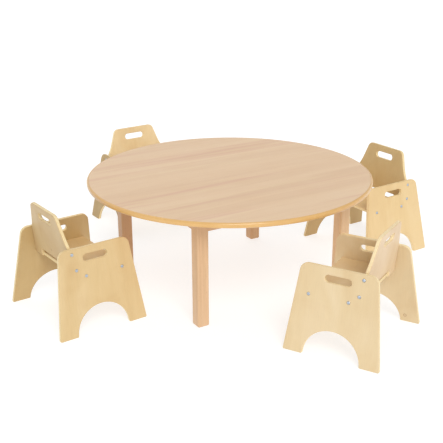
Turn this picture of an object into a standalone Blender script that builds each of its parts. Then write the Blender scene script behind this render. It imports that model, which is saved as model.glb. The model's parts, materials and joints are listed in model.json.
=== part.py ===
"""Round nursery table with four plywood toddler chairs, as separate solids.

Frame: metres, +Z up, floor at z = 0, origin at the bottom centre of the whole set's box.
Each chair is built once in its own frame (X forward, Y to its left, origin on the floor
midway between the rear feet) and then placed by its own parent empty.
"""
import math

import bmesh
import bpy
from mathutils import Matrix, Vector

SET_NAME = "kids_table_and_chairs"

# ---- shared ----
GAP = 0.0003                     # clearance between pieces that touch
WELD = 0.00001                   # points closer than this are one
CORNER_STEPS = 6                 # segments of a rounded corner
SLOT_STEPS = 8                   # segments of a slot's round end
ARCH_STEPS = 20
SMOOTH_ANGLE = math.radians(35)
BEVEL_ANGLE = math.radians(40)

# ---- table ----
TABLE_CENTRE = (-0.01236, -0.08466)   # puts the origin under the middle of the whole set
TOP_RADIUS = 0.500
TOP_HEIGHT = 0.394
TOP_THICKNESS = 0.018
LAMINATE = 0.0008                # decorative and backing sheets
EDGE_ROUND = 0.0075              # rounding of the board's upper and lower rim
TOP_SEGMENTS = 72
EDGE_SEGMENTS = 3                # segments of a rounded edge
LEG_SIZE = 0.042
LEG_EDGE = 0.004                 # rounding of a leg's four long edges
LEG_SPACING = 0.5666             # centre to centre along a side of the leg square
LEG_SQUARE_ANGLE = math.radians(30.9)
APRON_HEIGHT = 0.050
APRON_THICKNESS = 0.020
APRON_SETBACK = 0.008            # apron's outer face behind the legs' outer faces
APRON_EDGE = 0.002

# ---- chair: side panels ----
PLY = 0.012                      # thickness of every chair panel
EASE = 0.0015                    # eased edges
SPLAY = math.radians(9.5)        # the sides lean in towards the top
BASE_WIDTH = 0.378               # between the outer faces at the floor
SIDE_DEPTH = 0.3157              # along the floor
SIDE_HEIGHT = 0.286              # along the panel
EDGE_SLOPE = 0.122               # the front and rear edges lean in
ARM_ROUND = 0.027
FOOT_ROUND = 0.006
ARCH_HALF_WIDTH = 0.093
ARCH_HEIGHT = 0.090
SLOT_LENGTH = 0.086
SLOT_WIDTH = 0.023
SIDE_SLOT_HEIGHT = 0.2497        # slot's centre, along the panel

# ---- chair: seat ----
SEAT_MID_HEIGHT = 0.188
SEAT_FRONT = 0.267
SEAT_FRONT_ROUND = 0.0045
SEAT_TONGUE_REAR = 0.0915        # its rear edge stands in the backrest's notch

# ---- chair: backrest ----
LEAN = math.radians(9.5)
BACK_PLANE_X = 0.0827            # middle plane of the backrest at BACK_PLANE_Z
BACK_PLANE_Z = 0.240
BACK_BOTTOM = 0.1845             # heights measured along the backrest
BACK_SHOULDER = 0.288            # where its edges leave the side panels
BACK_BEND = 0.308                # middle of the curve between shoulder and neck
BACK_NECK = 0.330                # where its edges run straight again
BACK_NECK_HALF_WIDTH = 0.1085
BACK_TOP = 0.3870
BACK_TOP_HALF_WIDTH = 0.0885
BACK_TOP_ROUND = 0.024
BACK_SLOT_LENGTH = 0.088
BACK_SLOT_WIDTH = 0.024
BACK_SLOT_HEIGHT = 0.350
NOTCH_HALF_WIDTH = 0.096         # takes the seat's tongue and leaves a gap above it
NOTCH_TOP = 0.2135
NOTCH_ROUND = 0.014

# ---- chair: connector screws ----
SCREW_HEAD_RADIUS = 0.005
SCREW_HEAD_THICKNESS = 0.0022
SCREW_SHANK_RADIUS = 0.0025
SCREW_LENGTH = 0.040             # under the head
RECESS_DEPTH = 0.0020            # of the head's seat below the face, at its centre
HEAD_CLEARANCE = 0.0007
SEAT_SCREW_INSET = 0.0195        # from the seat's front and rear edges
BACK_SCREW_HEIGHTS = (0.212, 0.264)
HEAD_SIDES = 12
SHANK_SIDES = 8

# ---- where the chairs stand: rear-feet midpoint from the table's centre, heading ----
CHAIRS = {
    "front_left": ((-0.645, -0.360), math.radians(36.0)),
    "back_left": ((-0.443, 0.772), math.radians(-56.0)),
    "back_right": ((0.674, 0.427), math.radians(214.4)),
    "front_right": ((0.525, -0.545), math.radians(149.7)),
}

# ---- finishes: colour, roughness, metallic ----
FINISHES = {
    "beech_laminate": ((0.73, 0.51, 0.34), 0.45, 0.0),
    "lacquered_board": ((0.68, 0.39, 0.13), 0.40, 0.0),
    "beech": ((0.70, 0.44, 0.24), 0.45, 0.0),
    "birch_ply": ((0.80, 0.62, 0.36), 0.50, 0.0),
    "zinc_steel": ((0.55, 0.57, 0.60), 0.35, 0.9),
}


# ---------------------------------------------------------------- tools

def clear_scene():
    for old in list(bpy.data.objects):
        bpy.data.objects.remove(old, do_unlink=True)


def new_collection(name):
    made = bpy.data.collections.new(name)
    bpy.context.scene.collection.children.link(made)
    return made


def make_material(name):
    colour, roughness, metallic = FINISHES[name]
    made = bpy.data.materials.new(name)
    made.use_nodes = True
    shader = made.node_tree.nodes["Principled BSDF"]
    shader.inputs["Base Color"].default_value = (*colour, 1.0)
    shader.inputs["Roughness"].default_value = roughness
    shader.inputs["Metallic"].default_value = metallic
    return made


def add_object(name, data, collection, material=None, matrix=None, parent=None):
    made = bpy.data.objects.new(name, data)
    collection.objects.link(made)
    if material and not data.materials:
        data.materials.append(material)
    made.parent = parent
    if matrix is not None:
        made.matrix_local = matrix
    return made


def smooth(mesh):
    mesh.shade_smooth()
    mesh.set_sharp_from_angle(angle=SMOOTH_ANGLE)
    return mesh


def baked(source):
    """The evaluated mesh of an object in its parent's space; the object is removed."""
    bpy.context.view_layer.update()
    evaluated = source.evaluated_get(bpy.context.evaluated_depsgraph_get())
    mesh = bpy.data.meshes.new_from_object(evaluated)
    mesh.transform(source.matrix_world)
    bpy.data.objects.remove(source, do_unlink=True)
    return mesh


def block(size, centre=(0.0, 0.0, 0.0)):
    mesh = bpy.data.meshes.new("block")
    shape = bmesh.new()
    bmesh.ops.create_cube(shape, size=1.0)
    bmesh.ops.scale(shape, vec=size, verts=shape.verts)
    bmesh.ops.translate(shape, vec=centre, verts=shape.verts)
    shape.to_mesh(mesh)
    shape.free()
    return mesh


def rod(radius, start, end, sides):
    """A cylinder along Z from start to end."""
    mesh = bpy.data.meshes.new("rod")
    shape = bmesh.new()
    bmesh.ops.create_cone(shape, cap_ends=True, segments=sides, radius1=radius,
                          radius2=radius, depth=end - start)
    bmesh.ops.translate(shape, vec=(0.0, 0.0, (start + end) / 2), verts=shape.verts)
    shape.to_mesh(mesh)
    shape.free()
    return mesh


def add_bevel(target, width, segments):
    bevel = target.modifiers.new("rounded_edges", "BEVEL")
    bevel.width = width
    bevel.segments = segments
    bevel.limit_method = "ANGLE"
    bevel.angle_limit = BEVEL_ANGLE
    return bevel


def add_boolean(target, other, operation="DIFFERENCE"):
    boolean = target.modifiers.new(operation.lower(), "BOOLEAN")
    boolean.operation = operation
    boolean.solver = "EXACT"
    boolean.object = other


def arc(centre, radius, start, end, steps):
    """Points on an arc, both ends included; the angles are in radians."""
    points = []
    for step in range(steps + 1):
        angle = start + (end - start) * step / steps
        points.append((centre[0] + radius * math.cos(angle), centre[1] + radius * math.sin(angle)))
    return points


def rounded_corner(before, corner, after, radius):
    """An arc of the given radius that replaces a corner between two straight edges."""
    corner = Vector(corner)
    back = (Vector(before) - corner).normalized()
    ahead = (Vector(after) - corner).normalized()
    half = back.angle(ahead) / 2
    centre = corner + (back + ahead).normalized() * (radius / math.sin(half))
    start = corner + back * (radius / math.tan(half)) - centre
    end = corner + ahead * (radius / math.tan(half)) - centre
    first = math.atan2(start.y, start.x)
    turn = start.angle_signed(end)
    return arc(centre, radius, first, first - turn, CORNER_STEPS)


def slot_outline(centre, length, width):
    """A slot with full-round ends, its length along X."""
    radius = width / 2
    reach = length / 2 - radius
    right = arc((centre[0] + reach, centre[1]), radius, -math.pi / 2, math.pi / 2, SLOT_STEPS)
    left = arc((centre[0] - reach, centre[1]), radius, math.pi / 2, 3 * math.pi / 2, SLOT_STEPS)
    return right + left


def panel_mesh(outlines, thickness, frame):
    """A flat panel with eased edges: the first outline is its rim, the others are holes.

    frame places the panel's middle plane.
    """
    curve = bpy.data.curves.new("panel_outline", "CURVE")
    curve.dimensions = "2D"
    curve.fill_mode = "BOTH"
    curve.extrude = thickness / 2 - EASE
    curve.bevel_depth = EASE
    curve.bevel_resolution = 0
    curve.offset = -EASE
    for outline in outlines:
        spline = curve.splines.new("POLY")
        spline.points.add(len(outline) - 1)
        for point, (x, y) in zip(spline.points, outline):
            point.co = (x, y, 0.0, 1.0)
        spline.use_cyclic_u = True
    holder = bpy.data.objects.new("panel_outline", curve)
    bpy.context.scene.collection.objects.link(holder)
    mesh = baked(holder)
    bpy.data.curves.remove(curve)
    shape = bmesh.new()
    shape.from_mesh(mesh)
    bmesh.ops.remove_doubles(shape, verts=shape.verts, dist=WELD)
    bmesh.ops.recalc_face_normals(shape, faces=shape.faces)
    shape.to_mesh(mesh)
    shape.free()
    mesh.transform(frame)
    return mesh


def cut_mesh(name, mesh, cutters, workshop):
    """The mesh less the cutters, which stay hidden in the workshop collection."""
    target = add_object(name + "_blank", mesh, workshop)
    for number, (cutter_mesh, matrix) in enumerate(cutters):
        cutter = add_object(f"{name}_cutter_{number}", cutter_mesh, workshop, matrix=matrix)
        cutter.hide_render = True
        cutter.display_type = "WIRE"
        add_boolean(target, cutter)
    return baked(target)


# ---------------------------------------------------------------- table

def make_tabletop(collection, centre, materials):
    """Board with a rounded rim, a decorative sheet on it and a backing sheet below."""
    board_top = TOP_HEIGHT - LAMINATE - GAP
    board_bottom = TOP_HEIGHT - TOP_THICKNESS + LAMINATE + GAP
    board = add_object("tabletop_board", rod(TOP_RADIUS, board_bottom, board_top, TOP_SEGMENTS),
                       collection, materials["lacquered_board"], centre)
    add_bevel(board, EDGE_ROUND, EDGE_SEGMENTS)
    smooth(board.data)
    sheet_radius = TOP_RADIUS - EDGE_ROUND
    sheets = {
        "tabletop_laminate": (board_top + GAP, TOP_HEIGHT),
        "backing_laminate": (board_bottom - GAP - LAMINATE, board_bottom - GAP),
    }
    for name, (low, high) in sheets.items():
        sheet = rod(sheet_radius, low, high, TOP_SEGMENTS)
        add_object(name, smooth(sheet), collection, materials["beech_laminate"], centre)


def make_legs_and_aprons(collection, centre, materials):
    """Four square legs on the corners of a turned square, with an apron on each side."""
    turned = centre @ Matrix.Rotation(LEG_SQUARE_ANGLE, 4, "Z")
    under_top = TOP_HEIGHT - TOP_THICKNESS - GAP
    half = LEG_SPACING / 2
    leg_mesh = block((LEG_SIZE, LEG_SIZE, under_top), (0.0, 0.0, under_top / 2))
    corners = {
        "leg_front": (-half, -half),
        "leg_right": (half, -half),
        "leg_back": (half, half),
        "leg_left": (-half, half),
    }
    for name, (x, y) in corners.items():
        leg = add_object(name, leg_mesh, collection, materials["beech"],
                         turned @ Matrix.Translation((x, y, 0.0)))
        add_bevel(leg, LEG_EDGE, EDGE_SEGMENTS)
    smooth(leg_mesh)

    length = LEG_SPACING - LEG_SIZE - 2 * GAP
    offset = half + LEG_SIZE / 2 - APRON_SETBACK - APRON_THICKNESS / 2
    apron_mesh = block((length, APRON_THICKNESS, APRON_HEIGHT),
                       (0.0, -offset, under_top - APRON_HEIGHT / 2))
    for number, name in enumerate(("apron_front", "apron_right", "apron_back", "apron_left")):
        apron = add_object(name, apron_mesh, collection, materials["beech"],
                           turned @ Matrix.Rotation(number * math.pi / 2, 4, "Z"))
        add_bevel(apron, APRON_EDGE, EDGE_SEGMENTS)


# ---------------------------------------------------------------- chair

def side_outline():
    """Side panel: sloping edges, rounded corners and a half-ellipse arch between two feet.

    It reaches a little below the floor, where the feet are cut level afterwards.
    """
    inset = EDGE_SLOPE * SIDE_HEIGHT
    middle = SIDE_DEPTH / 2
    below = -PLY * math.tan(SPLAY)
    rear_foot = (0.0, below)
    rear_inner = (middle - ARCH_HALF_WIDTH, below)
    front_inner = (middle + ARCH_HALF_WIDTH, below)
    front_foot = (SIDE_DEPTH, below)
    rear_arm = (inset, SIDE_HEIGHT)
    front_arm = (SIDE_DEPTH - inset, SIDE_HEIGHT)
    arch = []
    for step in range(1, ARCH_STEPS):
        angle = math.pi - math.pi * step / ARCH_STEPS
        arch.append((middle + ARCH_HALF_WIDTH * math.cos(angle), ARCH_HEIGHT * math.sin(angle)))
    outline = rounded_corner(rear_arm, rear_foot, rear_inner, FOOT_ROUND)
    outline += rounded_corner(rear_foot, rear_inner, (rear_inner[0], 0.0), FOOT_ROUND)
    outline += arch
    outline += rounded_corner((front_inner[0], 0.0), front_inner, front_foot, FOOT_ROUND)
    outline += rounded_corner(front_inner, front_foot, front_arm, FOOT_ROUND)
    outline += rounded_corner(front_foot, front_arm, rear_arm, ARM_ROUND)
    outline += rounded_corner(front_arm, rear_arm, rear_foot, ARM_ROUND)
    return outline


def side_frame():
    """Middle plane of the left side panel: X forward, Y up along the panel."""
    outward = Vector((0.0, math.cos(SPLAY), math.sin(SPLAY)))
    corner = Vector((0.0, BASE_WIDTH / 2, 0.0)) - outward * (PLY / 2)
    return Matrix.Translation(corner) @ Matrix.Rotation(math.pi / 2 + SPLAY, 4, "X")


def inner_half_width(height):
    """Half the clear width between the side panels at a height above the floor."""
    return BASE_WIDTH / 2 - PLY / math.cos(SPLAY) - height * math.tan(SPLAY)


def outer_half_width(height):
    """Half the chair's width over the side panels' outer faces at a height."""
    return BASE_WIDTH / 2 - height * math.tan(SPLAY)


def back_x(height):
    """Where the backrest's middle plane stands at a height above the floor."""
    return BACK_PLANE_X - (height - BACK_PLANE_Z) * math.tan(LEAN)


def seat_rear():
    """Where the seat's shoulders stop against the backrest's front face."""
    face = PLY / 2 / math.cos(LEAN)
    return back_x(SEAT_MID_HEIGHT - PLY / 2) + face + GAP


def screw_places():
    """Each connector screw on the left side: name to (forward, height)."""
    lower, upper = BACK_SCREW_HEIGHTS
    return {
        "back_upper": (back_x(upper), upper),
        "back_lower": (back_x(lower), lower),
        "seat_rear": (seat_rear() + SEAT_SCREW_INSET, SEAT_MID_HEIGHT),
        "seat_front": (SEAT_FRONT - SEAT_SCREW_INSET, SEAT_MID_HEIGHT),
    }


def screw_matrix(place):
    """Screw frame on the left side: Z outwards, origin under the head."""
    forward, height = place
    seat_y = outer_half_width(height) - RECESS_DEPTH + GAP
    return Matrix.Translation((forward, seat_y, height)) @ Matrix.Rotation(-math.pi / 2, 4, "X")


def screw_cutters(whole_panel):
    """Holes for the left-hand screws, with a recess for each head in the side panel."""
    cutters = []
    for place in screw_places().values():
        matrix = screw_matrix(place)
        hole = SCREW_SHANK_RADIUS + GAP
        cutters.append((rod(hole, -SCREW_LENGTH - 2 * GAP, SCREW_LENGTH, SHANK_SIDES), matrix))
        if whole_panel:
            recess = rod(SCREW_HEAD_RADIUS + HEAD_CLEARANCE, -GAP, SCREW_LENGTH, HEAD_SIDES)
            cutters.append((recess, matrix))
    return cutters


def mirrored(mesh):
    """A copy on the other side of the chair's middle."""
    copy = mesh.copy()
    copy.transform(Matrix.Diagonal((1.0, -1.0, 1.0, 1.0)))
    copy.flip_normals()
    return copy


def side_mesh(workshop):
    """Left side panel with its hand slot, screw holes and feet cut level with the floor."""
    slot = slot_outline((SIDE_DEPTH / 2, SIDE_SLOT_HEIGHT), SLOT_LENGTH, SLOT_WIDTH)
    mesh = panel_mesh([side_outline(), slot], PLY, side_frame())
    floor = block((2 * SIDE_DEPTH, 2 * BASE_WIDTH, PLY), (SIDE_DEPTH / 2, 0.0, -PLY / 2))
    return cut_mesh("side", mesh, screw_cutters(True) + [(floor, Matrix())], workshop)


def across(matrix):
    """The same place on the right side, for something round that points straight out."""
    forward, left, height = matrix.to_translation()
    turned = Matrix.Rotation(math.pi, 4, "Z") @ matrix.to_3x3().to_4x4()
    return Matrix.Translation((forward, -left, height)) @ turned


def both_sides(cutters):
    """The round cutters and the same ones on the right side."""
    return cutters + [(mesh, across(matrix)) for mesh, matrix in cutters]


def seat_corner_cutters():
    """What is cut off the seat's rear corners to leave its tongue."""
    step = seat_rear() - SEAT_TONGUE_REAR
    offset = NOTCH_HALF_WIDTH - GAP + BASE_WIDTH / 2
    cutters = []
    for side in (1, -1):
        corner = block((2 * step, BASE_WIDTH, 2 * PLY), (SEAT_TONGUE_REAR, side * offset, SEAT_MID_HEIGHT))
        cutters.append((corner, Matrix()))
    return cutters


def seat_mesh(workshop):
    """Seat between the sides; its side edges are bevelled to meet the splayed panels."""
    low = SEAT_MID_HEIGHT - PLY / 2
    high = SEAT_MID_HEIGHT + PLY / 2
    centre = ((SEAT_FRONT + SEAT_TONGUE_REAR) / 2, 0.0, SEAT_MID_HEIGHT)
    mesh = block((SEAT_FRONT - SEAT_TONGUE_REAR, BASE_WIDTH, PLY), centre)
    for vertex in mesh.vertices:
        height = low if vertex.co.z < SEAT_MID_HEIGHT else high
        vertex.co.y = math.copysign(inner_half_width(height) - GAP, vertex.co.y)
    mesh.update()
    shaped = add_object("seat_shape", mesh, workshop)
    front = shaped.data.attributes.new("bevel_weight_edge", "FLOAT", "EDGE")
    for edge in shaped.data.edges:
        ends = [shaped.data.vertices[index].co for index in edge.vertices]
        if all(end.x > SEAT_FRONT - GAP for end in ends) and abs(ends[0].z - ends[1].z) < GAP:
            front.data[edge.index].value = 1.0
    bevel = add_bevel(shaped, SEAT_FRONT_ROUND, EDGE_SEGMENTS)
    bevel.limit_method = "WEIGHT"
    cutters = seat_corner_cutters() + both_sides(screw_cutters(False))
    return cut_mesh("seat", baked(shaped), cutters, workshop)


def curve_between(start, bend, end):
    """A quadratic curve from start to end that leaves and arrives along the lines to bend."""
    start, bend, end = Vector(start), Vector(bend), Vector(end)
    points = []
    for step in range(1, CORNER_STEPS + 1):
        t = step / CORNER_STEPS
        point = start.lerp(bend, t).lerp(bend.lerp(end, t), t)
        points.append(tuple(point))
    return points


def back_outline():
    """Backrest: notched at the foot, wedged between the sides, drawn in above them."""
    def edge_at(along):
        top_face = along * math.cos(LEAN) + PLY * math.sin(LEAN)
        return inner_half_width(top_face) - GAP

    foot = (edge_at(BACK_BOTTOM), BACK_BOTTOM)
    shoulder = (edge_at(BACK_SHOULDER), BACK_SHOULDER)
    neck = (BACK_NECK_HALF_WIDTH, BACK_NECK)
    top = (BACK_TOP_HALF_WIDTH, BACK_TOP)
    slope = (neck[0] - top[0]) / (top[1] - neck[1])
    bend = (neck[0] + slope * (neck[1] - BACK_BEND), BACK_BEND)
    notch_foot = (NOTCH_HALF_WIDTH, BACK_BOTTOM)
    notch_corner = (NOTCH_HALF_WIDTH, NOTCH_TOP)
    right = rounded_corner((0.0, NOTCH_TOP), notch_corner, notch_foot, NOTCH_ROUND)
    right += [notch_foot, foot, shoulder]
    right += curve_between(shoulder, bend, neck)
    right += rounded_corner(neck, top, (0.0, top[1]), BACK_TOP_ROUND)
    left = [(-x, y) for x, y in reversed(right)]
    return right + left


def back_frame():
    """Middle plane of the backrest: X to the chair's left, Y up along the panel."""
    foot = Vector((back_x(0.0), 0.0, 0.0))
    stand = Matrix.Rotation(math.pi / 2, 4, "Z") @ Matrix.Rotation(math.pi / 2, 4, "X")
    return Matrix.Translation(foot) @ Matrix.Rotation(-LEAN, 4, "Y") @ stand


def back_mesh(workshop):
    slot = slot_outline((0.0, BACK_SLOT_HEIGHT), BACK_SLOT_LENGTH, BACK_SLOT_WIDTH)
    mesh = panel_mesh([back_outline(), slot], PLY, back_frame())
    return cut_mesh("back", mesh, both_sides(screw_cutters(False)), workshop)


def screw_mesh(workshop):
    """Connector screw: a flat head on a plain shank, Z out of the head."""
    shank = rod(SCREW_SHANK_RADIUS, -SCREW_LENGTH, SCREW_HEAD_THICKNESS / 2, SHANK_SIDES)
    head = rod(SCREW_HEAD_RADIUS, 0.0, SCREW_HEAD_THICKNESS, HEAD_SIDES)
    screw = add_object("screw_head", head, workshop)
    stem = add_object("screw_shank", shank, workshop)
    stem.hide_render = True
    stem.display_type = "WIRE"
    add_boolean(screw, stem, "UNION")
    return baked(screw)


def make_chairs(collection, workshop, centre, materials):
    left = side_mesh(workshop)
    panels = {
        "left_side": left,
        "right_side": mirrored(left),
        "seat": seat_mesh(workshop),
        "backrest": back_mesh(workshop),
    }
    screw = screw_mesh(workshop)
    for mesh in [*panels.values(), screw]:
        smooth(mesh)
    for chair, (place, heading) in CHAIRS.items():
        holder = add_object(f"chair_{chair}", None, collection)
        holder.matrix_world = (centre @ Matrix.Translation((*place, 0.0))
                               @ Matrix.Rotation(heading, 4, "Z"))
        for name, mesh in panels.items():
            add_object(f"{chair}_{name}", mesh, collection, materials["birch_ply"], parent=holder)
        for name, spot in screw_places().items():
            matrix = screw_matrix(spot)
            for side, frame in (("left", matrix), ("right", across(matrix))):
                add_object(f"{chair}_screw_{side}_{name}", screw, collection,
                           materials["zinc_steel"], frame, holder)


def main():
    clear_scene()
    collection = new_collection(SET_NAME)
    workshop = new_collection("cutters")
    materials = {name: make_material(name) for name in FINISHES}
    centre = Matrix.Translation((*TABLE_CENTRE, 0.0))
    make_tabletop(collection, centre, materials)
    make_legs_and_aprons(collection, centre, materials)
    make_chairs(collection, workshop, centre, materials)
    bpy.context.view_layer.update()


main()
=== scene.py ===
"""Looks of the round nursery table and its four plywood armchairs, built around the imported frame."""
import json
import math
import random

import bmesh
import bpy
from mathutils import Matrix, Vector


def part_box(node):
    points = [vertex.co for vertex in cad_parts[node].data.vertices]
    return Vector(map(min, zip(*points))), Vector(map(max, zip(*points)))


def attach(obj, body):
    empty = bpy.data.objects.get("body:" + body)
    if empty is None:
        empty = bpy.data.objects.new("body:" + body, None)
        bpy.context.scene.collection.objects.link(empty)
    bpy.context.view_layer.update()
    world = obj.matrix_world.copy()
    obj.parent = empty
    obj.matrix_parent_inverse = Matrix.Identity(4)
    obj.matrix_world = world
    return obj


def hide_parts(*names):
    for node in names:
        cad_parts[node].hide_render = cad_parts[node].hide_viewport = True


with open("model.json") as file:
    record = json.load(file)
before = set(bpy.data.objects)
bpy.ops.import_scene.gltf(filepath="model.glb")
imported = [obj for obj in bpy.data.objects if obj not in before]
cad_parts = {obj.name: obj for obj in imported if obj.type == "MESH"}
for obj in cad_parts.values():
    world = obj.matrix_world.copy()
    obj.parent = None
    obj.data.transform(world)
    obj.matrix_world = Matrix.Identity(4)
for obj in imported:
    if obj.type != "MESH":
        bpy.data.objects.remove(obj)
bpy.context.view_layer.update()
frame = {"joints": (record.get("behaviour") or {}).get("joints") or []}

# ---- gaps ----
GAP = 0.0003                     # between pieces that meet
SHEET_GAP = GAP / 3              # between a laminate sheet and the board

# ---- table: what the frame doesn't say ----
SHEET_EASE = 0.0002              # rounding of the laminate sheets' outer edges
LEG_SIZE = 0.042
LEG_ROUND = 0.006
APRON_SIZE = (0.020, 0.050)      # thickness, height
APRON_ROUND = 0.002
BLOCK_REACH = 0.075              # corner block, from the leg's corner along each apron
BLOCK_HEIGHT = 0.040
BLOCK_THICKNESS = 0.022
BLOCK_EASE = 0.0015

# ---- corner bolts: heights run from the block's inner face towards the leg ----
BOLT_RADIUS = 0.004
BOLT_HOLE_RADIUS = 0.0047
BOLT_TAIL = -0.014
BOLT_BITE = 0.012                # how far the bolt goes into the leg
THREAD_PITCH = 0.00125
THREAD_DEPTH = 0.0004
WASHER_RADII = (0.0045, 0.0088)
WASHER_FACES = (-0.0018, -0.0002)
NUT_HALF_FLATS = 0.0065
NUT_BORE = 0.0040
NUT_EASE = 0.0004
NUT_FACES = (-0.0085, -0.0021)

# ---- chair, in its own frame: X forward, Y left, origin between the rear feet ----
PLY = 0.012                      # the panels' thickness
PLIES = 9
EASE = 0.0022                    # rounding of the panels' edges
SPLAY = math.radians(9.5)        # the side panels' lean towards each other
BASE_WIDTH = 0.378               # over the side panels, at the floor
SIDE_DEPTH = 0.3157
SIDE_HEIGHT = 0.286              # along the panel
EDGE_SLOPE = 0.122               # how far a side panel's edges draw in for each metre of height
ARM_ROUND = 0.027
FOOT_ROUND = 0.006
ARCH_HALF_WIDTH = 0.093
ARCH_HEIGHT = 0.090
SLOT = (0.086, 0.023)            # length, width
SLOT_HEIGHT = 0.2497
SEAT_MID_HEIGHT = 0.188
SEAT_FRONT = 0.267
SEAT_FRONT_ROUND = 0.0045
SEAT_TONGUE_REAR = 0.0915        # the tongue's rear edge, in the backrest's notch
TONGUE_EASE = 0.0012
LEAN = math.radians(9.5)         # the backrest's, to the rear
BACK_PLANE = (0.0827, 0.240)     # the backrest's middle plane: forward place at a height
BACK_BOTTOM = 0.1845             # this and the heights below are along the backrest
BACK_SHOULDER = 0.288
BACK_BEND = 0.308
BACK_NECK = (0.1085, 0.330)      # half width, height
BACK_TOP = (0.0885, 0.3870)
BACK_TOP_ROUND = 0.024
BACK_SLOT = (0.088, 0.024)       # length, width
BACK_SLOT_HEIGHT = 0.350
NOTCH_HALF_WIDTH = 0.096
NOTCH_TOP = 0.2135
NOTCH_ROUND = 0.014

# ---- the tone of each piece's wood against the plain one, with painted light and shade for how the lamp falls on it: red, green, blue ----
PLAIN = (1.0, 1.0, 1.0)
# each chair's wood tone, with painted light and shade for how the lamp falls on that chair
CHAIR_TONES_AND_SHADE = {
    "front_left": (0.89, 0.86, 0.79),
    "front_right": (0.99, 1.01, 1.08),
    "back_right": (0.98, 0.94, 0.86),
    "back_left": (1.05, 1.05, 1.06),
}
PIECE_TONES_AND_SHADE = {                  # panels that differ from the rest of their chair: some by their wood's own tone, the darker ones by painted shade where they stand in shadow or face away from the lamp
    "front_left_backrest": (0.79, 0.75, 0.69),
    "front_left_left_side": (0.71, 0.66, 0.54),
    "front_right_backrest": (1.01, 1.00, 1.16),
    "front_right_right_side": (0.94, 0.97, 1.06),
    "back_right_backrest": (0.87, 0.84, 0.73),
    "back_right_right_side": (0.70, 0.62, 0.47),
    "back_left_right_side": (0.62, 0.55, 0.40),
}
EDGE_SHARE_OF_TONE_AND_SHADE = 0.35                 # how much of its panel's tone and painted shade a cut edge takes
# the legs' wood tone; the left and back legs are darkened with painted shade from the top above them, the
# front and right ones lightened as painted light
LEG_TONES_AND_SHADE = {
    "front": (1.04, 1.08, 1.10),
    "right": (1.10, 1.16, 1.14),
    "left": (0.80, 0.71, 0.59),
    "back": (0.94, 0.89, 0.79),
}

# ---- a small knot at a chosen place on a panel's middle plane ----
PIN_KNOTS = {"front_right_right_side_panel": (0.048, 0.025, 0.0)}
NO_KNOT = (9.0, 9.0, 0.0)        # far outside every panel
PIN_KNOT_RADIUS = 0.0045
PIN_KNOT_LINE = (0.0004, 0.0018)  # half widths of its ring: the dark core, and where it has faded

# ---- screws ----
HEAD_RADIUS = 0.005
HEAD_THICKNESS = 0.0022
HEAD_CHAMFER = 0.25              # chamfer and socket depths, as parts of the head's thickness
SOCKET_FLOOR = 0.35
SOCKET_TIP = 0.20
SOCKET_RADIUS = 0.0023
SHANK_RADIUS = 0.0025
SCREW_LENGTH = 0.040
RECESS_DEPTH = 0.0020
HEAD_CLEARANCE = 0.0007
SEAT_SCREW_INSET = 0.0195
BACK_SCREW_HEIGHTS = (0.212, 0.264)

# ---- view and light ----
CAMERA_PLACE = (-0.0293, -2.9506, 1.3138)   # from the table's centre on the floor
CAMERA_PITCH = math.radians(20.44)
CAMERA_ROLL = -0.0037
CAMERA_LENS = 71.07              # this and the sensor in millimetres
SENSOR_WIDTH = 36.0
KEY_SIDE = (0.17, -0.70, 0.69)   # towards the lamp
KEY_STRENGTH = 1.55
KEY_SPREAD = math.radians(28)
FILL_SIDE = (-0.20, 0.62, 0.76)
FILL_STRENGTH = 0.50
FILL_SPREAD = math.radians(50)
HORIZON_STRENGTH = 1.0
SKY_STRENGTH = 0.48
SKY_FADE = (0.10, 0.40)          # sines of the elevations where the horizon starts and ends its fade
FLOOR_RADIUS = 30.0
FLOOR_DROP = 0.0002              # keeps the floor clear of the feet
FLOOR_GREYS = (0.38, 0.40)
FLOOR_GLOW = 0.70

# ---- how finely shapes are made ----
CORNER_STEPS = 14
SLOT_STEPS = 16
ARCH_STEPS = 48
RIM_STEPS = 10
TOP_SEGMENTS = 192
MERGE_DISTANCE = 0.00001
CUTTER_REACH = 0.1               # a through cutter's length each way
EIGHTH_TURN = math.pi / 4
QUARTER_TURN = math.pi / 2
SMOOTH_ANGLE = math.radians(40)


# ---------------------------------------------------------------- shapes

def finished(mesh):
    """The mesh with smooth shading on its round faces and flat shading on its flat ones."""
    holder = bpy.data.objects.new("finishing", mesh)
    bpy.context.scene.collection.objects.link(holder)
    mesh.shade_smooth()
    mesh.set_sharp_from_angle(angle=SMOOTH_ANGLE)
    weighted = holder.modifiers.new("flat_faces", "WEIGHTED_NORMAL")
    weighted.keep_sharp = True
    weighted.weight = 100
    return applied(holder)


def applied(holder):
    """The object's evaluated mesh in its own coordinates; the object is removed."""
    bpy.context.view_layer.update()
    evaluated = holder.evaluated_get(bpy.context.evaluated_depsgraph_get())
    mesh = bpy.data.meshes.new_from_object(evaluated)
    bpy.data.objects.remove(holder, do_unlink=True)
    return mesh


def from_bmesh(shape):
    """A mesh made of the bmesh, which is freed."""
    mesh = bpy.data.meshes.new("shape")
    shape.to_mesh(mesh)
    shape.free()
    return mesh


def arc(centre, radius, start, end, steps):
    """Points along a circle from one angle to another."""
    points = []
    for step in range(steps + 1):
        angle = start + (end - start) * step / steps
        points.append((centre[0] + radius * math.cos(angle), centre[1] + radius * math.sin(angle)))
    return points


def ring(radius, count):
    """Points evenly round the origin."""
    return arc((0.0, 0.0), radius, 0.0, math.tau * (count - 1) / count, count - 1)


def rounded_corner(before, corner, after, radius):
    """An arc that replaces a corner between two straight edges."""
    corner = Vector(corner)
    back = (Vector(before) - corner).normalized()
    ahead = (Vector(after) - corner).normalized()
    half = back.angle(ahead) / 2
    centre = corner + (back + ahead).normalized() * (radius / math.sin(half))
    start = corner + back * (radius / math.tan(half)) - centre
    end = corner + ahead * (radius / math.tan(half)) - centre
    first = math.atan2(start.y, start.x)
    return arc(centre, radius, first, first - start.angle_signed(end), CORNER_STEPS)


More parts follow.
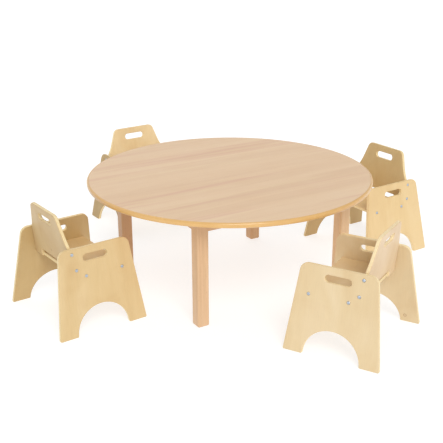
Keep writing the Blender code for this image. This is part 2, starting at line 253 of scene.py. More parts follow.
def slot_outline(height, size, centre):
    """A level slot with round ends; its size is its length and width."""
    radius = size[1] / 2
    reach = size[0] / 2 - radius
    right = arc((centre + reach, height), radius, -QUARTER_TURN, QUARTER_TURN, SLOT_STEPS)
    left = arc((centre - reach, height), radius, QUARTER_TURN, 3 * QUARTER_TURN, SLOT_STEPS)
    return right + left


def panel(outlines, thickness=PLY, ease=EASE):
    """A flat panel with rounded edges, its middle plane at z = 0: a rim, then any holes in it."""
    curve = bpy.data.curves.new("outline", "CURVE")
    curve.dimensions = "2D"
    curve.fill_mode = "BOTH"
    curve.extrude = thickness / 2 - ease
    curve.bevel_depth = ease
    curve.bevel_resolution = 3
    curve.offset = -ease
    for outline in outlines:
        spline = curve.splines.new("POLY")
        spline.points.add(len(outline) - 1)
        for point, (x, y) in zip(spline.points, outline):
            point.co = (x, y, 0.0, 1.0)
        spline.use_cyclic_u = True
    holder = bpy.data.objects.new("outline", curve)
    bpy.context.scene.collection.objects.link(holder)
    mesh = applied(holder)
    bpy.data.curves.remove(curve)
    shape = bmesh.new()
    shape.from_mesh(mesh)
    bmesh.ops.remove_doubles(shape, verts=shape.verts, dist=MERGE_DISTANCE)
    bmesh.ops.recalc_face_normals(shape, faces=shape.faces)
    shape.to_mesh(mesh)
    shape.free()
    return mesh


def cut(mesh, cutters, operation="DIFFERENCE"):
    """The mesh with each cutter, a mesh and its matrix, taken off it or joined to it."""
    target = bpy.data.objects.new("blank", mesh)
    bpy.context.scene.collection.objects.link(target)
    tools = []
    for cutter_mesh, matrix in cutters:
        tool = bpy.data.objects.new("cutter", cutter_mesh)
        bpy.context.scene.collection.objects.link(tool)
        tool.matrix_world = matrix
        boolean = target.modifiers.new("boolean", "BOOLEAN")
        boolean.operation = operation
        boolean.solver = "EXACT"
        boolean.object = tool
        tools.append(tool)
    result = applied(target)
    for tool in tools:
        bpy.data.objects.remove(tool, do_unlink=True)
    return result


def turned(profile, sides):
    """A solid of revolution about Z; the profile of (radius, height) runs from top to bottom."""
    shape = bmesh.new()
    points = [shape.verts.new((radius, 0.0, height)) for radius, height in profile]
    for first, second in zip(points, points[1:]):
        shape.edges.new((first, second))
    holder = bpy.data.objects.new("profile", from_bmesh(shape))
    bpy.context.scene.collection.objects.link(holder)
    lathe = holder.modifiers.new("turned", "SCREW")
    lathe.steps = sides
    lathe.render_steps = sides
    lathe.use_merge_vertices = True
    lathe.merge_threshold = MERGE_DISTANCE
    return applied(holder)


def rounded_block(size, radius, segments=4):
    """A box centred on the origin, with rounded edges."""
    shape = bmesh.new()
    bmesh.ops.create_cube(shape, size=1.0)
    bmesh.ops.scale(shape, vec=size, verts=shape.verts)
    bmesh.ops.bevel(shape, geom=shape.edges[:], offset=radius, segments=segments,
                    profile=0.5, affect="EDGES")
    return from_bmesh(shape)


def rod(radius, low, high, sides):
    """A plain cylinder along Z."""
    return turned([(0.0, high), (radius, high), (radius, low), (0.0, low)], sides)


# ---------------------------------------------------------------- materials

class Graph:
    """A material's node tree, with one call for each node. A wood's grain runs along one of the axes."""

    def __init__(self, name, grain=None):
        self.grain = grain
        self.material = bpy.data.materials.new(name)
        self.material.use_nodes = True
        self.tree = self.material.node_tree
        self.shader = self.tree.nodes["Principled BSDF"]

    def node(self, kind, sockets=None, output=0, **settings):
        made = self.tree.nodes.new(kind)
        for name, value in settings.items():
            setattr(made, name, value)
        self.feed(made, sockets or {})
        return made.outputs[output]

    def feed(self, node, sockets):
        for name, value in sockets.items():
            if isinstance(value, bpy.types.NodeSocket):
                self.tree.links.new(value, node.inputs[name])
            else:
                node.inputs[name].default_value = value

    def math(self, operation, first, second=0.0):
        sockets = {0: first, 1: second}
        return self.node("ShaderNodeMath", sockets, operation=operation)

    def stored(self, name):
        return self.node("ShaderNodeAttribute", output="Vector", attribute_name=name)

    def vector_math(self, operation, first, second):
        return self.node("ShaderNodeVectorMath", {0: first, 1: second}, operation=operation)

    def place(self):
        """The piece's own coordinates, moved by its grain shift so that no two pieces look alike."""
        return self.vector_math("ADD", self.stored("place"), self.stored("grain_shift"))

    def stretched(self, vector, scale):
        return self.vector_math("MULTIPLY", vector, scale)

    def noise(self, vector, scale, detail=4.0, distortion=0.0, roughness=0.5):
        sockets = {"Vector": vector, "Scale": scale, "Detail": detail,
                   "Distortion": distortion, "Roughness": roughness}
        return self.node("ShaderNodeTexNoise", sockets)

    def ramp(self, value, stops):
        made = self.tree.nodes.new("ShaderNodeValToRGB")
        self.tree.links.new(value, made.inputs[0])
        elements = made.color_ramp.elements
        while len(elements) < len(stops):
            elements.new(1.0)
        for element, (position, tint) in zip(elements, stops):
            element.position = position
            element.color = tint
        return made.outputs[0]

    def limits(self, value, low, high, to_low=0.0, to_high=1.0):
        """The value stretched from between low and high to between to_low and to_high."""
        sockets = {0: value, 1: low, 2: high, 3: to_low, 4: to_high}
        return self.node("ShaderNodeMapRange", sockets)

    def mix(self, factor, first, second, blend="MIX"):
        made = self.tree.nodes.new("ShaderNodeMix")
        made.data_type = "RGBA"
        made.blend_type = blend
        self.feed(made, {0: factor, 6: first, 7: second})
        return made.outputs[2]

    def bump(self, height, strength, distance):
        sockets = {"Height": height, "Strength": strength, "Distance": distance}
        return self.node("ShaderNodeBump", sockets)

    def surface(self, **sockets):
        """The finished material; a socket's name is written with _ for each space."""
        self.feed(self.shader, {name.replace("_", " "): value for name, value in sockets.items()})
        return self.material


def colour(red, green, blue):
    """A colour as it shows on screen, from 0 to 255, made linear."""
    linear = []
    for channel in (red, green, blue):
        value = channel / 255
        linear.append(value / 12.92 if value <= 0.04045 else ((value + 0.055) / 1.055) ** 2.4)
    return (*linear, 1.0)


def grey(value):
    return (value, value, value, 1.0)


def along_grain(graph, vector, along, across):
    """Coordinates for a pattern that changes so many times in a metre along the grain and across it."""
    scale = [across, across, across]
    scale["xyz".index(graph.grain)] = along
    return graph.stretched(vector, scale)


def wood_figure(graph, vector, along, across, tones):
    """Long soft growth bands."""
    stretched = along_grain(graph, vector, along, across)
    return graph.ramp(graph.noise(stretched, 1.0, detail=5.0, distortion=0.6, roughness=0.55), tones)


def fibres(graph, vector, along, across):
    """A pattern of streaks, from 0 to 1."""
    return graph.noise(along_grain(graph, vector, along, across), 1.0, detail=3.0, roughness=0.6)


def lined(graph, base, fine, amount, darkest):
    """The base under thin darker lines."""
    lines = graph.ramp(fine, [(0.3, grey(darkest)), (0.7, grey(1.0))])
    return graph.mix(amount, base, lines, "MULTIPLY")


def marked(graph, base, pattern, rise, strength, tint, blend="MIX"):
    """The base with a tint that sets in as the pattern's value rises between two limits."""
    low, high = rise
    return graph.mix(graph.limits(pattern, low, high, 0.0, strength), base, tint, blend)


def uneven(graph, pattern, low, high):
    """A roughness that wanders between low and high."""
    return graph.limits(pattern, 0.3, 0.7, low, high)


def birch_face(graph, vector, fine):
    """Rotary-cut birch: a soft figure, short pores and small knots."""
    tones = [(0.28, colour(232, 208, 164)), (0.50, colour(227, 201, 153)), (0.74, colour(221, 192, 142))]
    knot_tint = colour(160, 112, 64)
    pores = fibres(graph, vector, along=60.0, across=1300.0)
    face = wood_figure(graph, vector, along=3.5, across=12.0, tones=tones)
    face = lined(graph, face, fine, amount=0.3, darkest=0.86)
    face = marked(graph, face, pores, rise=(0.66, 0.74), strength=0.30, tint=colour(164, 122, 74))
    cells = {"Vector": graph.stretched(vector, (7.0, 4.5, 7.0)), "Scale": 1.0, "Randomness": 1.0}
    knots = graph.node("ShaderNodeTexVoronoi", cells, output="Distance")
    face = graph.mix(graph.limits(knots, 0.010, 0.034, 0.5, 0.0), face, knot_tint)
    return graph.mix(pin_knot_ring(graph), face, knot_tint)


def pin_knot_ring(graph):
    """Mask of a thin ring round the piece's pin knot, seen through the panel."""
    away = graph.vector_math("SUBTRACT", graph.stored("place"), graph.stored("pin_knot"))
    flat = graph.stretched(away, (1.0, 1.0, 0.0))
    distance = graph.node("ShaderNodeVectorMath", {0: flat}, "Value", operation="LENGTH")
    from_ring = graph.math("ABSOLUTE", graph.math("SUBTRACT", distance, PIN_KNOT_RADIUS))
    core, faded = PIN_KNOT_LINE
    return graph.limits(from_ring, core, faded, 0.7, 0.0)


def birch_edge_with_highlight(graph, vector, end_grain):
    """The plies' cut ends: pale where the grain runs along the edge, browner where it ends there, both
    lightened as a painted highlight along the rounded edges.
    """
    streaks = graph.noise(graph.stretched(vector, (160.0, 160.0, 900.0)), 1.0, detail=3.0)
    # both ply colours are lighter than the wood's own, as a painted highlight on the rounded edges
    long_ply_and_highlight = graph.ramp(streaks, [(0.3, colour(248, 231, 182)), (0.7, colour(253, 242, 200))])
    end_ply_and_highlight = graph.ramp(streaks, [(0.3, colour(218, 184, 128)), (0.7, colour(238, 212, 158))])
    return graph.mix(end_grain, long_ply_and_highlight, end_ply_and_highlight)


def birch_ply():
    """Birch plywood, whose outer plies are its faces; the others show at its edges."""
    graph = Graph("birch_ply", grain="y")
    vector = graph.place()
    fine = fibres(graph, vector, along=14.0, across=420.0)
    split = graph.tree.nodes.new("ShaderNodeSeparateXYZ")
    graph.feed(split, {0: graph.stored("place")})
    depth = graph.math("ABSOLUTE", split.outputs["Z"])
    ply = PLY / PLIES
    blur = ply * 0.05
    face_depth = PLY / 2 - ply
    inner = graph.limits(depth, face_depth - blur, face_depth + blur, 1.0, 0.0)
    layer = graph.math("PINGPONG", graph.math("DIVIDE", depth, ply), 1.0)
    end_grain = graph.limits(layer, 0.35, 0.65)
    # the piece's wood tone with its painted light and shade multiplies the face, and a share of it the
    # edge
    face = graph.mix(1.0, birch_face(graph, vector, fine), graph.stored("tone_and_shade"), "MULTIPLY")
    edge = graph.mix(EDGE_SHARE_OF_TONE_AND_SHADE, birch_edge_with_highlight(graph, vector, end_grain), graph.stored("tone_and_shade"), "MULTIPLY")
    patina = graph.noise(vector, 9.0, detail=3.0, distortion=0.4)
    base = marked(graph, graph.mix(inner, face, edge), patina, rise=(0.45, 0.75), strength=0.18,
                  tint=colour(214, 180, 128), blend="MULTIPLY")
    gloss = uneven(graph, graph.noise(vector, 26.0), 0.40, 0.54)
    relief = graph.mix(inner, fine, end_grain)
    return graph.surface(Base_Color=base, Roughness=gloss, Coat_Weight=0.12, Coat_Roughness=0.35,
                         Normal=graph.bump(relief, 0.12, 0.0004))


def beech():
    """Solid steamed beech, grain along Z, with its short dark flecks."""
    graph = Graph("beech", grain="z")
    vector = graph.place()
    tones = [(0.25, colour(224, 188, 150)), (0.52, colour(216, 175, 134)), (0.78, colour(203, 160, 117))]
    fine = fibres(graph, vector, along=10.0, across=380.0)
    flecks = fibres(graph, vector, along=110.0, across=900.0)
    base = wood_figure(graph, vector, along=1.5, across=30.0, tones=tones)
    base = lined(graph, base, fine, amount=0.6, darkest=0.84)
    base = marked(graph, base, flecks, rise=(0.62, 0.70), strength=0.45, tint=colour(156, 104, 66))
    # the leg's wood tone with its painted light and shade multiplies the colour
    base = graph.mix(1.0, base, graph.stored("tone_and_shade"), "MULTIPLY")
    gloss = uneven(graph, graph.noise(vector, 30.0, detail=3.0), 0.36, 0.50)
    return graph.surface(Base_Color=base, Roughness=gloss, Coat_Weight=0.2, Coat_Roughness=0.3,
                         Normal=graph.bump(fine, 0.10, 0.0004))


def beech_laminate():
    """Printed beech laminate, grain along X: long pale and pinkish streaks under a satin film."""
    graph = Graph("beech_laminate", grain="x")
    vector = graph.place()
    tones = [(0.34, colour(232, 202, 167)), (0.50, colour(229, 197, 161)), (0.66, colour(224, 190, 154))]
    pink = fibres(graph, vector, along=0.9, across=30.0)
    pale = fibres(graph, vector, along=1.4, across=26.0)
    fine = fibres(graph, vector, along=9.0, across=420.0)
    flecks = fibres(graph, vector, along=90.0, across=800.0)
    base = wood_figure(graph, vector, along=0.8, across=13.0, tones=tones)
    base = marked(graph, base, pink, rise=(0.56, 0.72), strength=0.62, tint=colour(216, 167, 141))
    base = marked(graph, base, pale, rise=(0.56, 0.70), strength=0.50, tint=colour(234, 208, 170))
    base = lined(graph, base, fine, amount=0.4, darkest=0.90)
    base = marked(graph, base, flecks, rise=(0.63, 0.71), strength=0.30, tint=colour(176, 130, 94))
    gloss = uneven(graph, graph.noise(vector, 12.0), 0.40, 0.50)
    film = graph.noise(vector, 700.0, detail=2.0)
    return graph.surface(Base_Color=base, Roughness=gloss, Specular_IOR_Level=0.4,
                         Normal=graph.bump(film, 0.04, 0.0002))


def lacquered_board():
    """Fibreboard edge under clear lacquer: fine even fibres, golden brown, glossy."""
    graph = Graph("lacquered_board")
    vector = graph.place()
    specks = graph.noise(graph.stretched(vector, (1.0, 1.0, 2.5)), 900.0)
    clouds = graph.noise(vector, 14.0, detail=3.0)
    base = graph.ramp(specks, [(0.30, colour(210, 164, 98)), (0.70, colour(232, 188, 120))])
    base = marked(graph, base, clouds, rise=(0.35, 0.70), strength=0.4, tint=colour(212, 164, 96))
    return graph.surface(Base_Color=base, Roughness=uneven(graph, clouds, 0.26, 0.36), Coat_Weight=0.35,
                         Coat_Roughness=0.15, Normal=graph.bump(specks, 0.05, 0.0003))


def zinc_steel():
    """Bright zinc plating, a little dulled by handling."""
    graph = Graph("zinc_steel")
    clouds = graph.noise(graph.place(), 420.0)
    base = graph.ramp(clouds, [(0.3, colour(176, 186, 200)), (0.7, colour(204, 212, 222))])
    return graph.surface(Base_Color=base, Roughness=uneven(graph, clouds, 0.28, 0.46), Metallic=0.85,
                         Normal=graph.bump(clouds, 0.10, 0.0002))


def floor_material():
    """A pale sheet lit from below, as on a light table."""
    graph = Graph("pale_floor")
    clouds = graph.noise(graph.node("ShaderNodeTexCoord", output="Object"), 3.0, detail=2.0)
    darker, lighter = FLOOR_GREYS
    base = graph.ramp(clouds, [(0.0, grey(darker)), (1.0, grey(lighter))])
    return graph.surface(Base_Color=base, Roughness=0.9, Emission_Color=grey(1.0),
                         Emission_Strength=FLOOR_GLOW)


makers = (birch_ply, beech, beech_laminate, lacquered_board, zinc_steel)
finishes = {maker.__name__: maker() for maker in makers}


# ---------------------------------------------------------------- pieces

shifts = random.Random(7)
GRAIN_SPREAD = 3.0


def show(name, mesh, slot, body, matrix, replaced=(), tone_and_shade=PLAIN):
    """One visible piece, riding on a body and standing for the CAD nodes it replaces.

    The mesh is moved to its place in the world. It keeps its own coordinates for the materials,
    with a shift that gives every piece its own stretch of wood, and the tone of that wood together with
    its painted light and shade."""
    mesh = mesh.copy()
    count = len(mesh.vertices)
    own_place = [0.0] * (3 * count)
    mesh.vertices.foreach_get("co", own_place)
    shift = [shifts.uniform(-GRAIN_SPREAD, GRAIN_SPREAD) for _ in range(3)]
    stored = {"place": own_place, "grain_shift": shift * count, "tone_and_shade": list(tone_and_shade) * count,
              "pin_knot": list(PIN_KNOTS.get(name, NO_KNOT)) * count}
    for attribute_name, values in stored.items():
        attribute = mesh.attributes.new(attribute_name, "FLOAT_VECTOR", "POINT")
        attribute.data.foreach_set("vector", values)
    mesh.transform(matrix)
    mesh.materials.clear()
    mesh.materials.append(finishes[slot])
    piece = bpy.data.objects.new(name, mesh)
    bpy.context.scene.collection.objects.link(piece)
    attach(piece, body)
    if replaced:
        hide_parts(*replaced)


def middle(node):
    """The middle of a CAD node's box."""
    low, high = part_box(node)
    return (low + high) / 2


def half_size(node):
    """Half of a CAD node's box, each way."""
    low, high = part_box(node)
    return (high - low) / 2


# ---------------------------------------------------------------- table

def leg_spacing():
    """Between the middles of two neighbouring legs."""
    return (middle("leg_right") - middle("leg_front")).length


def build_top(angle):
    """The board with its rounded rim, between two thin laminate sheets that stop short of it."""
    centre = middle("tabletop_board")
    radius = half_size("tabletop_board").x
    board_low, board_high = (corner.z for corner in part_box("tabletop_board"))
    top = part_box("tabletop_laminate")[1].z
    sheet_radius = half_size("tabletop_laminate").x
    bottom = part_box("backing_laminate")[0].z
    frame_matrix = Matrix.Translation((centre.x, centre.y, 0.0)) @ Matrix.Rotation(angle, 4, "Z")

    rim_radius = radius - sheet_radius
    upper = arc((sheet_radius, top - rim_radius), rim_radius, QUARTER_TURN, 0.0, RIM_STEPS)
    lower = arc((sheet_radius, bottom + rim_radius), rim_radius, 0.0, -QUARTER_TURN, RIM_STEPS)
    profile = [(0.0, board_high), (sheet_radius, board_high)] + upper + lower
    profile += [(sheet_radius, board_low), (0.0, board_low)]
    board = finished(turned(profile, TOP_SEGMENTS))
    show("tabletop_board_rim", board, "lacquered_board", "table", frame_matrix, ["tabletop_board"])

    outer = sheet_radius - SHEET_GAP
    sheets = {
        "tabletop_laminate": (board_high + SHEET_GAP, top),
        "backing_laminate": (bottom, board_low - SHEET_GAP),
    }
    for node, (low, high) in sheets.items():
        profile = [(0.0, high), (outer - SHEET_EASE, high), (outer, high - SHEET_EASE), (outer, low),
                   (0.0, low)]
        sheet = finished(turned(profile, TOP_SEGMENTS))
        show(node + "_sheet", sheet, "beech_laminate", "table", frame_matrix, [node])


def build_legs(angle):
    """Four square legs, which stand on the floor and carry the top."""
    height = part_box("leg_front")[1].z
    leg = finished(rounded_block((LEG_SIZE, LEG_SIZE, height), LEG_ROUND))
    for name in ("front", "right", "back", "left"):
        spot = middle("leg_" + name)
        matrix = Matrix.Translation(spot) @ Matrix.Rotation(angle, 4, "Z")
        show(f"table_leg_{name}", leg, "beech", "table", matrix, ["leg_" + name], LEG_TONES_AND_SHADE[name])


def build_aprons(angle):
    """Rails between the legs, made upright so that their grain runs along them, then laid down."""
    length = leg_spacing() - LEG_SIZE - 2 * GAP
    thickness, height = APRON_SIZE
    apron = finished(rounded_block((height, thickness, length), APRON_ROUND, 3))
    laid = Matrix.Rotation(QUARTER_TURN, 4, "Y")
    for number, name in enumerate(("front", "right", "back", "left")):
        turn = Matrix.Rotation(angle + number * QUARTER_TURN, 4, "Z")
        matrix = Matrix.Translation(middle("apron_" + name)) @ turn @ laid
        show(f"table_apron_{name}", apron, "beech", "table", matrix, ["apron_" + name])


def build_corner_blocks(angle):
    """A block across each inner corner of the aprons, bolted through to the leg."""
    centre = middle("tabletop_board")
    apron_face = (middle("apron_front").xy - centre.xy).length - APRON_SIZE[0] / 2 - GAP
    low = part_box("apron_front")[0].z + (APRON_SIZE[1] - BLOCK_HEIGHT) / 2
    leg_corner = leg_spacing() / 2 - LEG_SIZE / 2
    start = leg_corner - BLOCK_REACH
    slant = BLOCK_THICKNESS * math.sqrt(2)
    outline = [(start, apron_face), (start + slant, apron_face),
               (apron_face, start + slant), (apron_face, start)]
    block = panel([outline], BLOCK_HEIGHT, BLOCK_EASE)
    along = (start + apron_face) / 2
    inner_face = Vector((along, along, 0.0))
    outward = Matrix.Rotation(EIGHTH_TURN, 4, "Z") @ Matrix.Rotation(QUARTER_TURN, 4, "Y")
    bolt_frame = Matrix.Translation(inner_face) @ outward
    hole = rod(BOLT_HOLE_RADIUS, -CUTTER_REACH, CUTTER_REACH, sides=32)
    block = finished(cut(block, [(hole, bolt_frame)]))
    to_leg = (Vector((leg_corner, leg_corner)) - inner_face.xy).length
    thread = threaded_profile(BOLT_RADIUS, BOLT_TAIL, to_leg + BOLT_BITE)
    fastening = {
        "bolt": finished(turned(thread, sides=20)),
        "washer": finished(washer()),
        "nut": finished(nut()),
    }
    for number, name in enumerate(("back", "left", "front", "right")):
        turn = Matrix.Rotation(angle + number * QUARTER_TURN, 4, "Z")
        matrix = Matrix.Translation((centre.x, centre.y, low + BLOCK_HEIGHT / 2)) @ turn
        show(f"corner_block_{name}", block, "beech", "table", matrix)
        for part, mesh in fastening.items():
            show(f"corner_{part}_{name}", mesh, "zinc_steel", "table", matrix @ bolt_frame)


def threaded_profile(radius, low, high):
    """A stud's profile with a ridge for each turn of its thread, from top to bottom."""
    root = radius - THREAD_DEPTH
    profile = [(0.0, high), (root, high)]
    for turn in range(int((high - low) / THREAD_PITCH)):
        height = high - (turn + 0.5) * THREAD_PITCH
        profile += [(radius, height), (root, height - THREAD_PITCH / 2)]
    return profile + [(root, low), (0.0, low)]


def washer():
    """A flat ring about Z."""
    inner, outer = WASHER_RADII
    low, high = WASHER_FACES
    return turned([(inner, high), (outer, high), (outer, low), (inner, low), (inner, high)], sides=40)


def nut():
    """A hexagon nut along Z with eased edges."""
    low, high = NUT_FACES
    corner_radius = NUT_HALF_FLATS / math.cos(math.pi / 6)
    mesh = panel([ring(corner_radius, 6), ring(NUT_BORE, 24)], high - low, NUT_EASE)
    mesh.transform(Matrix.Translation((0.0, 0.0, (low + high) / 2)))
    return mesh


# ---------------------------------------------------------------- chair

def inner_half_width(height):
    """From the chair's middle to a side panel's inner face."""
    return BASE_WIDTH / 2 - PLY / math.cos(SPLAY) - height * math.tan(SPLAY)


def outer_half_width(height):
    """From the chair's middle to a side panel's outer face."""
    return BASE_WIDTH / 2 - height * math.tan(SPLAY)


def back_x(height):
    """Forward place of the backrest's middle plane."""
    return BACK_PLANE[0] - (height - BACK_PLANE[1]) * math.tan(LEAN)


def seat_rear():
    """Forward place of the seat's rear edge, close in front of the backrest."""
    return back_x(SEAT_MID_HEIGHT - PLY / 2) + PLY / 2 / math.cos(LEAN) + GAP


def side_frame(side):
    """Middle plane of a side panel, 1 for the left one and -1 for the right: Y up along it."""
    outward = Vector((0.0, side * math.cos(SPLAY), math.sin(SPLAY)))
    corner = Vector((0.0, side * BASE_WIDTH / 2, 0.0)) - outward * (PLY / 2)
    return Matrix.Translation(corner) @ Matrix.Rotation(QUARTER_TURN + side * SPLAY, 4, "X")


def back_frame():
    """Middle plane of the backrest: X to the chair's left, Y up along it."""
    stand = Matrix.Rotation(QUARTER_TURN, 4, "Z") @ Matrix.Rotation(QUARTER_TURN, 4, "X")
    return Matrix.Translation((back_x(0.0), 0.0, 0.0)) @ Matrix.Rotation(-LEAN, 4, "Y") @ stand


def seat_frame():
    """Middle of the seat: Y across the chair, because the grain runs from side to side."""
    return Matrix.Translation(((seat_rear() + SEAT_FRONT) / 2, 0.0, SEAT_MID_HEIGHT))


def screw_places():
    """Forward place and height of each screw in a side panel."""
    lower, upper = BACK_SCREW_HEIGHTS
    return {
        "back_upper": (back_x(upper), upper),
        "back_lower": (back_x(lower), lower),
        "seat_rear": (seat_rear() + SEAT_SCREW_INSET, SEAT_MID_HEIGHT),
        "seat_front": (SEAT_FRONT - SEAT_SCREW_INSET, SEAT_MID_HEIGHT),
    }


def screw_matrix(place, side):
    """A screw's frame: Z out of the head, origin under it."""
    forward, height = place
    across = outer_half_width(height) - RECESS_DEPTH + GAP
    return (Matrix.Translation((forward, side * across, height))
            @ Matrix.Rotation(-side * QUARTER_TURN, 4, "X"))


def side_outline():
    """Side panel: a trapezoid with an arch, drawn deeper than the floor that it is cut level with."""
    inset = EDGE_SLOPE * SIDE_HEIGHT
    centre = SIDE_DEPTH / 2
    below = -PLY * math.tan(SPLAY)
    rear_foot = (0.0, below)
    rear_inner = (centre - ARCH_HALF_WIDTH, below)
    front_inner = (centre + ARCH_HALF_WIDTH, below)
    front_foot = (SIDE_DEPTH, below)
    rear_arm = (inset, SIDE_HEIGHT)
    front_arm = (SIDE_DEPTH - inset, SIDE_HEIGHT)
    outline = rounded_corner(rear_arm, rear_foot, rear_inner, FOOT_ROUND)
    outline += rounded_corner(rear_foot, rear_inner, (rear_inner[0], 0.0), FOOT_ROUND)
    for step in range(1, ARCH_STEPS):
        angle = math.pi - math.pi * step / ARCH_STEPS
        outline.append((centre + ARCH_HALF_WIDTH * math.cos(angle), ARCH_HEIGHT * math.sin(angle)))
    outline += rounded_corner((front_inner[0], 0.0), front_inner, front_foot, FOOT_ROUND)
    outline += rounded_corner(front_inner, front_foot, front_arm, FOOT_ROUND)
    outline += rounded_corner(front_foot, front_arm, rear_arm, ARM_ROUND)
    outline += rounded_corner(front_arm, rear_arm, rear_foot, ARM_ROUND)
    return outline


def level_feet(mesh, place):
    """The side panel, which place stands on its edge, cut level with the floor."""
    inverse = place.inverted()
    floor_point = inverse @ Vector((0.0, 0.0, 0.0))
    down = inverse.to_3x3() @ Vector((0.0, 0.0, -1.0))
    shape = bmesh.new()
    shape.from_mesh(mesh)
    everything = shape.verts[:] + shape.edges[:] + shape.faces[:]
    cut_away = bmesh.ops.bisect_plane(shape, geom=everything, plane_co=floor_point, plane_no=down,
                                      clear_outer=True)
    rim = [item for item in cut_away["geom_cut"] if isinstance(item, bmesh.types.BMEdge)]
    bmesh.ops.holes_fill(shape, edges=rim)
    bmesh.ops.recalc_face_normals(shape, faces=shape.faces)
    shape.to_mesh(mesh)
    shape.free()
    return mesh


def left_side():
    """Left side panel with its hand slot and a recess for each screw head."""
    slot = slot_outline(SLOT_HEIGHT, SLOT, SIDE_DEPTH / 2)
    stand = side_frame(1)
    mesh = level_feet(panel([side_outline(), slot]), stand)
    cutters = []
    for place in screw_places().values():
        matrix = stand.inverted() @ screw_matrix(place, 1)
        bore = rod(SHANK_RADIUS + GAP, -SCREW_LENGTH, SCREW_LENGTH, sides=24)
        recess = rod(HEAD_RADIUS + HEAD_CLEARANCE, -GAP, SCREW_LENGTH, sides=40)
        cutters += [(bore, matrix), (recess, matrix)]
    return finished(cut(mesh, cutters))


def mirrored(mesh):
    """The right-hand panel: the left-hand one reflected in its own middle plane."""
    copy = mesh.copy()
    copy.transform(Matrix.Diagonal((1.0, 1.0, -1.0, 1.0)))
    copy.flip_normals()
    return finished(copy)


def seat():
    """Seat with side edges bevelled to the splayed panels, a rounded front and a tongue behind."""
    length = SEAT_FRONT - seat_rear()
    shape = bmesh.new()
    bmesh.ops.create_cube(shape, size=1.0)
    for vertex in shape.verts:
        vertex.co.x *= length
        vertex.co.z *= PLY
        half = inner_half_width(SEAT_MID_HEIGHT + vertex.co.z) - GAP
        vertex.co.y = math.copysign(half, vertex.co.y)
    front = [edge for edge in shape.edges
             if all(vertex.co.x > 0.0 for vertex in edge.verts)
             and edge.verts[0].co.z * edge.verts[1].co.z > 0.0]
    bmesh.ops.bevel(shape, geom=front, offset=SEAT_FRONT_ROUND, segments=6, profile=0.5, affect="EDGES")
    reach = seat_rear() - SEAT_TONGUE_REAR
    tongue = rounded_block((2 * reach, 2 * (NOTCH_HALF_WIDTH - GAP), PLY), TONGUE_EASE, 2)
    placed = Matrix.Translation((-length / 2, 0.0, 0.0))
    return finished(cut(from_bmesh(shape), [(tongue, placed)], "UNION"))


def curve_between(start, bend, end):
    """A quadratic curve that leaves and arrives along the lines to bend."""
    start, bend, end = Vector(start), Vector(bend), Vector(end)
    points = []
    for step in range(1, CORNER_STEPS + 1):
        t = step / CORNER_STEPS
        points.append(tuple(start.lerp(bend, t).lerp(bend.lerp(end, t), t)))
    return points


def back_outline():
    """Backrest: notched at the foot, wedged between the sides, drawn in above them."""
    def edge_at(along):
        """Half width between the sides, just above the front face's height, where it is the least."""
        height = along * math.cos(LEAN) + PLY * math.sin(LEAN)
        return inner_half_width(height) - GAP

    foot = (edge_at(BACK_BOTTOM), BACK_BOTTOM)
    shoulder = (edge_at(BACK_SHOULDER), BACK_SHOULDER)
    slope = (BACK_NECK[0] - BACK_TOP[0]) / (BACK_TOP[1] - BACK_NECK[1])
    bend = (BACK_NECK[0] + slope * (BACK_NECK[1] - BACK_BEND), BACK_BEND)
    notch_foot = (NOTCH_HALF_WIDTH, BACK_BOTTOM)
    notch_corner = (NOTCH_HALF_WIDTH, NOTCH_TOP)
    right = rounded_corner((0.0, NOTCH_TOP), notch_corner, notch_foot, NOTCH_ROUND)
    right += [notch_foot, foot, shoulder]
    right += curve_between(shoulder, bend, BACK_NECK)
    right += rounded_corner(BACK_NECK, BACK_TOP, (0.0, BACK_TOP[1]), BACK_TOP_ROUND)
    return right + [(-x, y) for x, y in reversed(right)]


def backrest():
    """Backrest with its hand slot."""
    slot = slot_outline(BACK_SLOT_HEIGHT, BACK_SLOT, 0.0)
    return finished(panel([back_outline(), slot]))


def connector_screw():
    """Flat-headed screw with a chamfered rim and a hexagon socket, Z out of the head."""
    chamfer = HEAD_THICKNESS * HEAD_CHAMFER
    profile = [(0.0, HEAD_THICKNESS), (HEAD_RADIUS - chamfer, HEAD_THICKNESS),
               (HEAD_RADIUS, HEAD_THICKNESS - chamfer), (HEAD_RADIUS, 0.0), (SHANK_RADIUS, 0.0),
               (SHANK_RADIUS, -SCREW_LENGTH + SHANK_RADIUS), (0.0, -SCREW_LENGTH)]
    above = HEAD_THICKNESS * 2
    key = turned([(0.0, above), (SOCKET_RADIUS, above), (SOCKET_RADIUS, HEAD_THICKNESS * SOCKET_FLOOR),
                  (0.0, HEAD_THICKNESS * SOCKET_TIP)], sides=6)
    return finished(cut(turned(profile, sides=36), [(key, Matrix())]))


def chair_matrix(chair, joint):
    """A chair's own frame, from the way it slides and the middle of its two side panels."""
    forward = Vector(joint["axis"])
    left_low, left_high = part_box(chair + "_left_side")
    right_low, right_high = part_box(chair + "_right_side")
    low = Vector(map(min, left_low, right_low))
    high = Vector(map(max, left_high, right_high))
    origin = (low + high) / 2 - forward * (SIDE_DEPTH / 2)
    return (Matrix.Translation((origin.x, origin.y, 0.0))
            @ Matrix.Rotation(math.atan2(forward.y, forward.x), 4, "Z"))


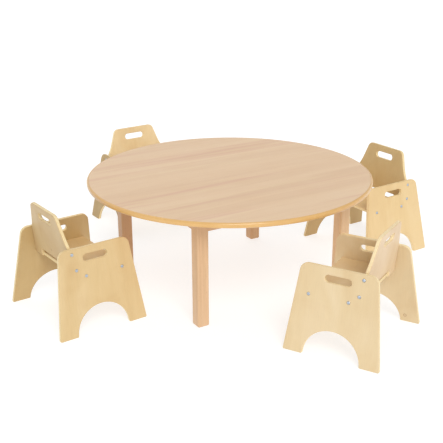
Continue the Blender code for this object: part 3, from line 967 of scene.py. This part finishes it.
def build_chairs():
    """Each chair's panels and screws, on the body that slides with it."""
    left = left_side()
    panels = {
        "left_side": (left, side_frame(1)),
        "right_side": (mirrored(left), side_frame(-1)),
        "seat": (seat(), seat_frame()),
        "backrest": (backrest(), back_frame()),
    }
    screw = connector_screw()
    for joint in frame["joints"]:
        body = joint["child"]
        chair = body.removeprefix("chair_")
        stand = chair_matrix(chair, joint)
        for name, (mesh, place) in panels.items():
            node = f"{chair}_{name}"
            # the panel's wood tone, with painted shade for panels in shadow or turned from the lamp
            tone_and_shade = PIECE_TONES_AND_SHADE.get(node, CHAIR_TONES_AND_SHADE[chair])
            show(node + "_panel", mesh, "birch_ply", body, stand @ place, [node], tone_and_shade)
        for name, place in screw_places().items():
            for side_name, side in (("left", 1), ("right", -1)):
                node = f"{chair}_screw_{side_name}_{name}"
                show(node + "_head", screw, "zinc_steel", body, stand @ screw_matrix(place, side), [node])


# ---------------------------------------------------------------- room

def build_floor():
    """A wide round floor."""
    shape = bmesh.new()
    bmesh.ops.create_circle(shape, cap_ends=True, segments=64, radius=FLOOR_RADIUS)
    floor = bpy.data.objects.new("floor", from_bmesh(shape))
    floor.data.materials.append(floor_material())
    floor.location.z = -FLOOR_DROP
    bpy.context.scene.collection.objects.link(floor)


def add_lamp(name, side, strength, spread):
    """A broad soft lamp, far off in the direction of side."""
    data = bpy.data.lights.new(name, "SUN")
    data.energy = strength
    data.angle = spread
    lamp = bpy.data.objects.new(name, data)
    lamp.rotation_euler = Vector(side).to_track_quat("Z", "Y").to_euler()
    bpy.context.scene.collection.objects.link(lamp)


def build_sky():
    """A white horizon that fades up into a dimmer sky."""
    world = bpy.data.worlds.new("studio")
    world.use_nodes = True
    tree = world.node_tree
    direction = tree.nodes.new("ShaderNodeTexCoord")
    split = tree.nodes.new("ShaderNodeSeparateXYZ")
    fade = tree.nodes.new("ShaderNodeMapRange")
    background = tree.nodes["Background"]
    background.inputs["Color"].default_value = grey(1.0)
    tree.links.new(direction.outputs["Generated"], split.inputs[0])
    tree.links.new(split.outputs["Z"], fade.inputs["Value"])
    tree.links.new(fade.outputs[0], background.inputs["Strength"])
    fade.inputs["From Min"].default_value, fade.inputs["From Max"].default_value = SKY_FADE
    fade.inputs["To Min"].default_value = HORIZON_STRENGTH
    fade.inputs["To Max"].default_value = SKY_STRENGTH
    bpy.context.scene.world = world


def build_room():
    build_floor()
    add_lamp("key", KEY_SIDE, KEY_STRENGTH, KEY_SPREAD)
    add_lamp("back_fill", FILL_SIDE, FILL_STRENGTH, FILL_SPREAD)
    build_sky()
    bpy.context.scene.view_settings.view_transform = "Standard"


def build_camera(centre):
    """The camera, placed from the table's centre on the floor."""
    data = bpy.data.cameras.new("camera")
    data.lens = CAMERA_LENS
    data.sensor_width = SENSOR_WIDTH
    camera = bpy.data.objects.new("camera", data)
    camera.matrix_world = (Matrix.Translation(centre + Vector(CAMERA_PLACE))
                           @ Matrix.Rotation(QUARTER_TURN - CAMERA_PITCH, 4, "X")
                           @ Matrix.Rotation(CAMERA_ROLL, 4, "Z"))
    bpy.context.scene.collection.objects.link(camera)
    bpy.context.scene.camera = camera


def main():
    front_apron = middle("leg_right") - middle("leg_front")
    angle = math.atan2(front_apron.y, front_apron.x)
    build_top(angle)
    build_legs(angle)
    build_aprons(angle)
    build_corner_blocks(angle)
    build_chairs()
    centre = middle("tabletop_board")
    centre.z = 0.0
    build_room()
    build_camera(centre)


main()
